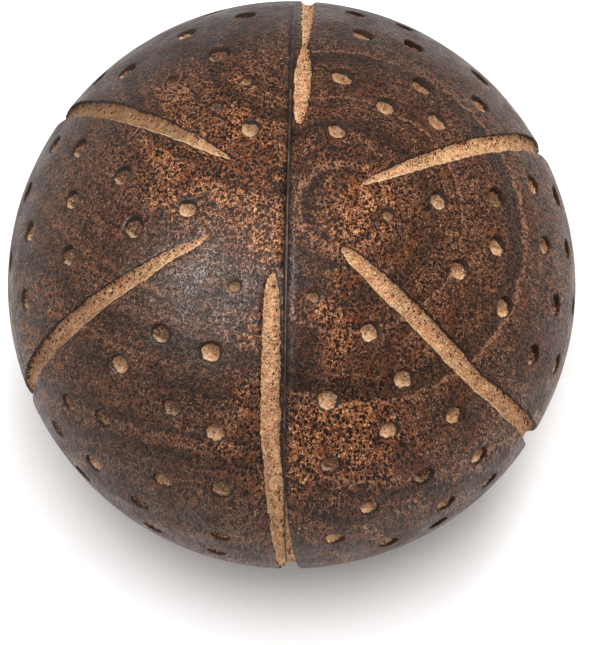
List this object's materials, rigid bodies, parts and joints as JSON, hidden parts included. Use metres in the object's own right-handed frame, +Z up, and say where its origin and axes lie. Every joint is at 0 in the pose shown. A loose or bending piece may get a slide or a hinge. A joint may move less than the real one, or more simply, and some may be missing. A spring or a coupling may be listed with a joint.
{
  "type": "maraca ball shaker",
  "caption": "Hollow round hand shaker of carved, charred wood, glued from two half shells, with gouged grooves, scattered round pits, and loose seeds inside.",
  "frame": {"origin": "middle of the small flat that the ball stands on", "axes": "+Z up, from the standing flat to the top of the ball where the grooves meet; +X from the left half shell to the right one, square to the glued seam; +Y away from the viewer along the seam"},
  "size_m": [0.08, 0.08, 0.079],
  "materials": {
    "charred_wood": "carved, charred dark brown and waxed to a satin sheen; freshly cut light wood in the grooves and pits",
    "glue": "thin light grey line of wood glue",
    "seed": "hard round seed, smooth dark brown skin"
  },
  "bodies": {
    "shell": {"left_shell": "charred_wood", "right_shell": "charred_wood", "glue_line": "glue"},
    "seed_01": {"seed_01": "seed"},
    "seed_02": {"seed_02": "seed"},
    "seed_03": {"seed_03": "seed"},
    "seed_04": {"seed_04": "seed"},
    "seed_05": {"seed_05": "seed"},
    "seed_06": {"seed_06": "seed"},
    "seed_07": {"seed_07": "seed"},
    "seed_08": {"seed_08": "seed"},
    "seed_09": {"seed_09": "seed"},
    "seed_10": {"seed_10": "seed"},
    "seed_11": {"seed_11": "seed"},
    "seed_12": {"seed_12": "seed"},
    "seed_13": {"seed_13": "seed"},
    "seed_14": {"seed_14": "seed"},
    "seed_15": {"seed_15": "seed"},
    "seed_16": {"seed_16": "seed"},
    "seed_17": {"seed_17": "seed"},
    "seed_18": {"seed_18": "seed"},
    "seed_19": {"seed_19": "seed"},
    "seed_20": {"seed_20": "seed"},
    "seed_21": {"seed_21": "seed"},
    "seed_22": {"seed_22": "seed"},
    "seed_23": {"seed_23": "seed"},
    "seed_24": {"seed_24": "seed"},
    "seed_25": {"seed_25": "seed"},
    "seed_26": {"seed_26": "seed"},
    "seed_27": {"seed_27": "seed"},
    "seed_28": {"seed_28": "seed"},
    "seed_29": {"seed_29": "seed"},
    "seed_30": {"seed_30": "seed"},
    "seed_31": {"seed_31": "seed"}
  },
  "joints": [
    {"name": "seed_01_toss", "type": "slide", "parent": "shell", "child": "seed_01", "axis": [0, 0, 1], "range_m": [0, 0.0598]},
    {"name": "seed_02_toss", "type": "slide", "parent": "shell", "child": "seed_02", "axis": [0, 0, 1], "range_m": [0, 0.05858]},
    {"name": "seed_03_toss", "type": "slide", "parent": "shell", "child": "seed_03", "axis": [0, 0, 1], "range_m": [0, 0.05858]},
    {"name": "seed_04_toss", "type": "slide", "parent": "shell", "child": "seed_04", "axis": [0, 0, 1], "range_m": [0, 0.05858]},
    {"name": "seed_05_toss", "type": "slide", "parent": "shell", "child": "seed_05", "axis": [0, 0, 1], "range_m": [0, 0.05858]},
    {"name": "seed_06_toss", "type": "slide", "parent": "shell", "child": "seed_06", "axis": [0, 0, 1], "range_m": [0, 0.05858]},
    {"name": "seed_07_toss", "type": "slide", "parent": "shell", "child": "seed_07", "axis": [0, 0, 1], "range_m": [0, 0.05858]},
    {"name": "seed_08_toss", "type": "slide", "parent": "shell", "child": "seed_08", "axis": [0, 0, 1], "range_m": [0, 0.05607]},
    {"name": "seed_09_toss", "type": "slide", "parent": "shell", "child": "seed_09", "axis": [0, 0, 1], "range_m": [0, 0.05607]},
    {"name": "seed_10_toss", "type": "slide", "parent": "shell", "child": "seed_10", "axis": [0, 0, 1], "range_m": [0, 0.05607]},
    {"name": "seed_11_toss", "type": "slide", "parent": "shell", "child": "seed_11", "axis": [0, 0, 1], "range_m": [0, 0.05607]},
    {"name": "seed_12_toss", "type": "slide", "parent": "shell", "child": "seed_12", "axis": [0, 0, 1], "range_m": [0, 0.05607]},
    {"name": "seed_13_toss", "type": "slide", "parent": "shell", "child": "seed_13", "axis": [0, 0, 1], "range_m": [0, 0.05607]},
    {"name": "seed_14_toss", "type": "slide", "parent": "shell", "child": "seed_14", "axis": [0, 0, 1], "range_m": [0, 0.05477]},
    {"name": "seed_15_toss", "type": "slide", "parent": "shell", "child": "seed_15", "axis": [0, 0, 1], "range_m": [0, 0.05477]},
    {"name": "seed_16_toss", "type": "slide", "parent": "shell", "child": "seed_16", "axis": [0, 0, 1], "range_m": [0, 0.05477]},
    {"name": "seed_17_toss", "type": "slide", "parent": "shell", "child": "seed_17", "axis": [0, 0, 1], "range_m": [0, 0.05477]},
    {"name": "seed_18_toss", "type": "slide", "parent": "shell", "child": "seed_18", "axis": [0, 0, 1], "range_m": [0, 0.05477]},
    {"name": "seed_19_toss", "type": "slide", "parent": "shell", "child": "seed_19", "axis": [0, 0, 1], "range_m": [0, 0.05477]},
    {"name": "seed_20_toss", "type": "slide", "parent": "shell", "child": "seed_20", "axis": [0, 0, 1], "range_m": [0, 0.05068]},
    {"name": "seed_21_toss", "type": "slide", "parent": "shell", "child": "seed_21", "axis": [0, 0, 1], "range_m": [0, 0.05068]},
    {"name": "seed_22_toss", "type": "slide", "parent": "shell", "child": "seed_22", "axis": [0, 0, 1], "range_m": [0, 0.05068]},
    {"name": "seed_23_toss", "type": "slide", "parent": "shell", "child": "seed_23", "axis": [0, 0, 1], "range_m": [0, 0.05068]},
    {"name": "seed_24_toss", "type": "slide", "parent": "shell", "child": "seed_24", "axis": [0, 0, 1], "range_m": [0, 0.05068]},
    {"name": "seed_25_toss", "type": "slide", "parent": "shell", "child": "seed_25", "axis": [0, 0, 1], "range_m": [0, 0.05068]},
    {"name": "seed_26_toss", "type": "slide", "parent": "shell", "child": "seed_26", "axis": [0, 0, 1], "range_m": [0, 0.05068]},
    {"name": "seed_27_toss", "type": "slide", "parent": "shell", "child": "seed_27", "axis": [0, 0, 1], "range_m": [0, 0.05068]},
    {"name": "seed_28_toss", "type": "slide", "parent": "shell", "child": "seed_28", "axis": [0, 0, 1], "range_m": [0, 0.05068]},
    {"name": "seed_29_toss", "type": "slide", "parent": "shell", "child": "seed_29", "axis": [0, 0, 1], "range_m": [0, 0.05068]},
    {"name": "seed_30_toss", "type": "slide", "parent": "shell", "child": "seed_30", "axis": [0, 0, 1], "range_m": [0, 0.05068]},
    {"name": "seed_31_toss", "type": "slide", "parent": "shell", "child": "seed_31", "axis": [0, 0, 1], "range_m": [0, 0.05068]}
  ]
}
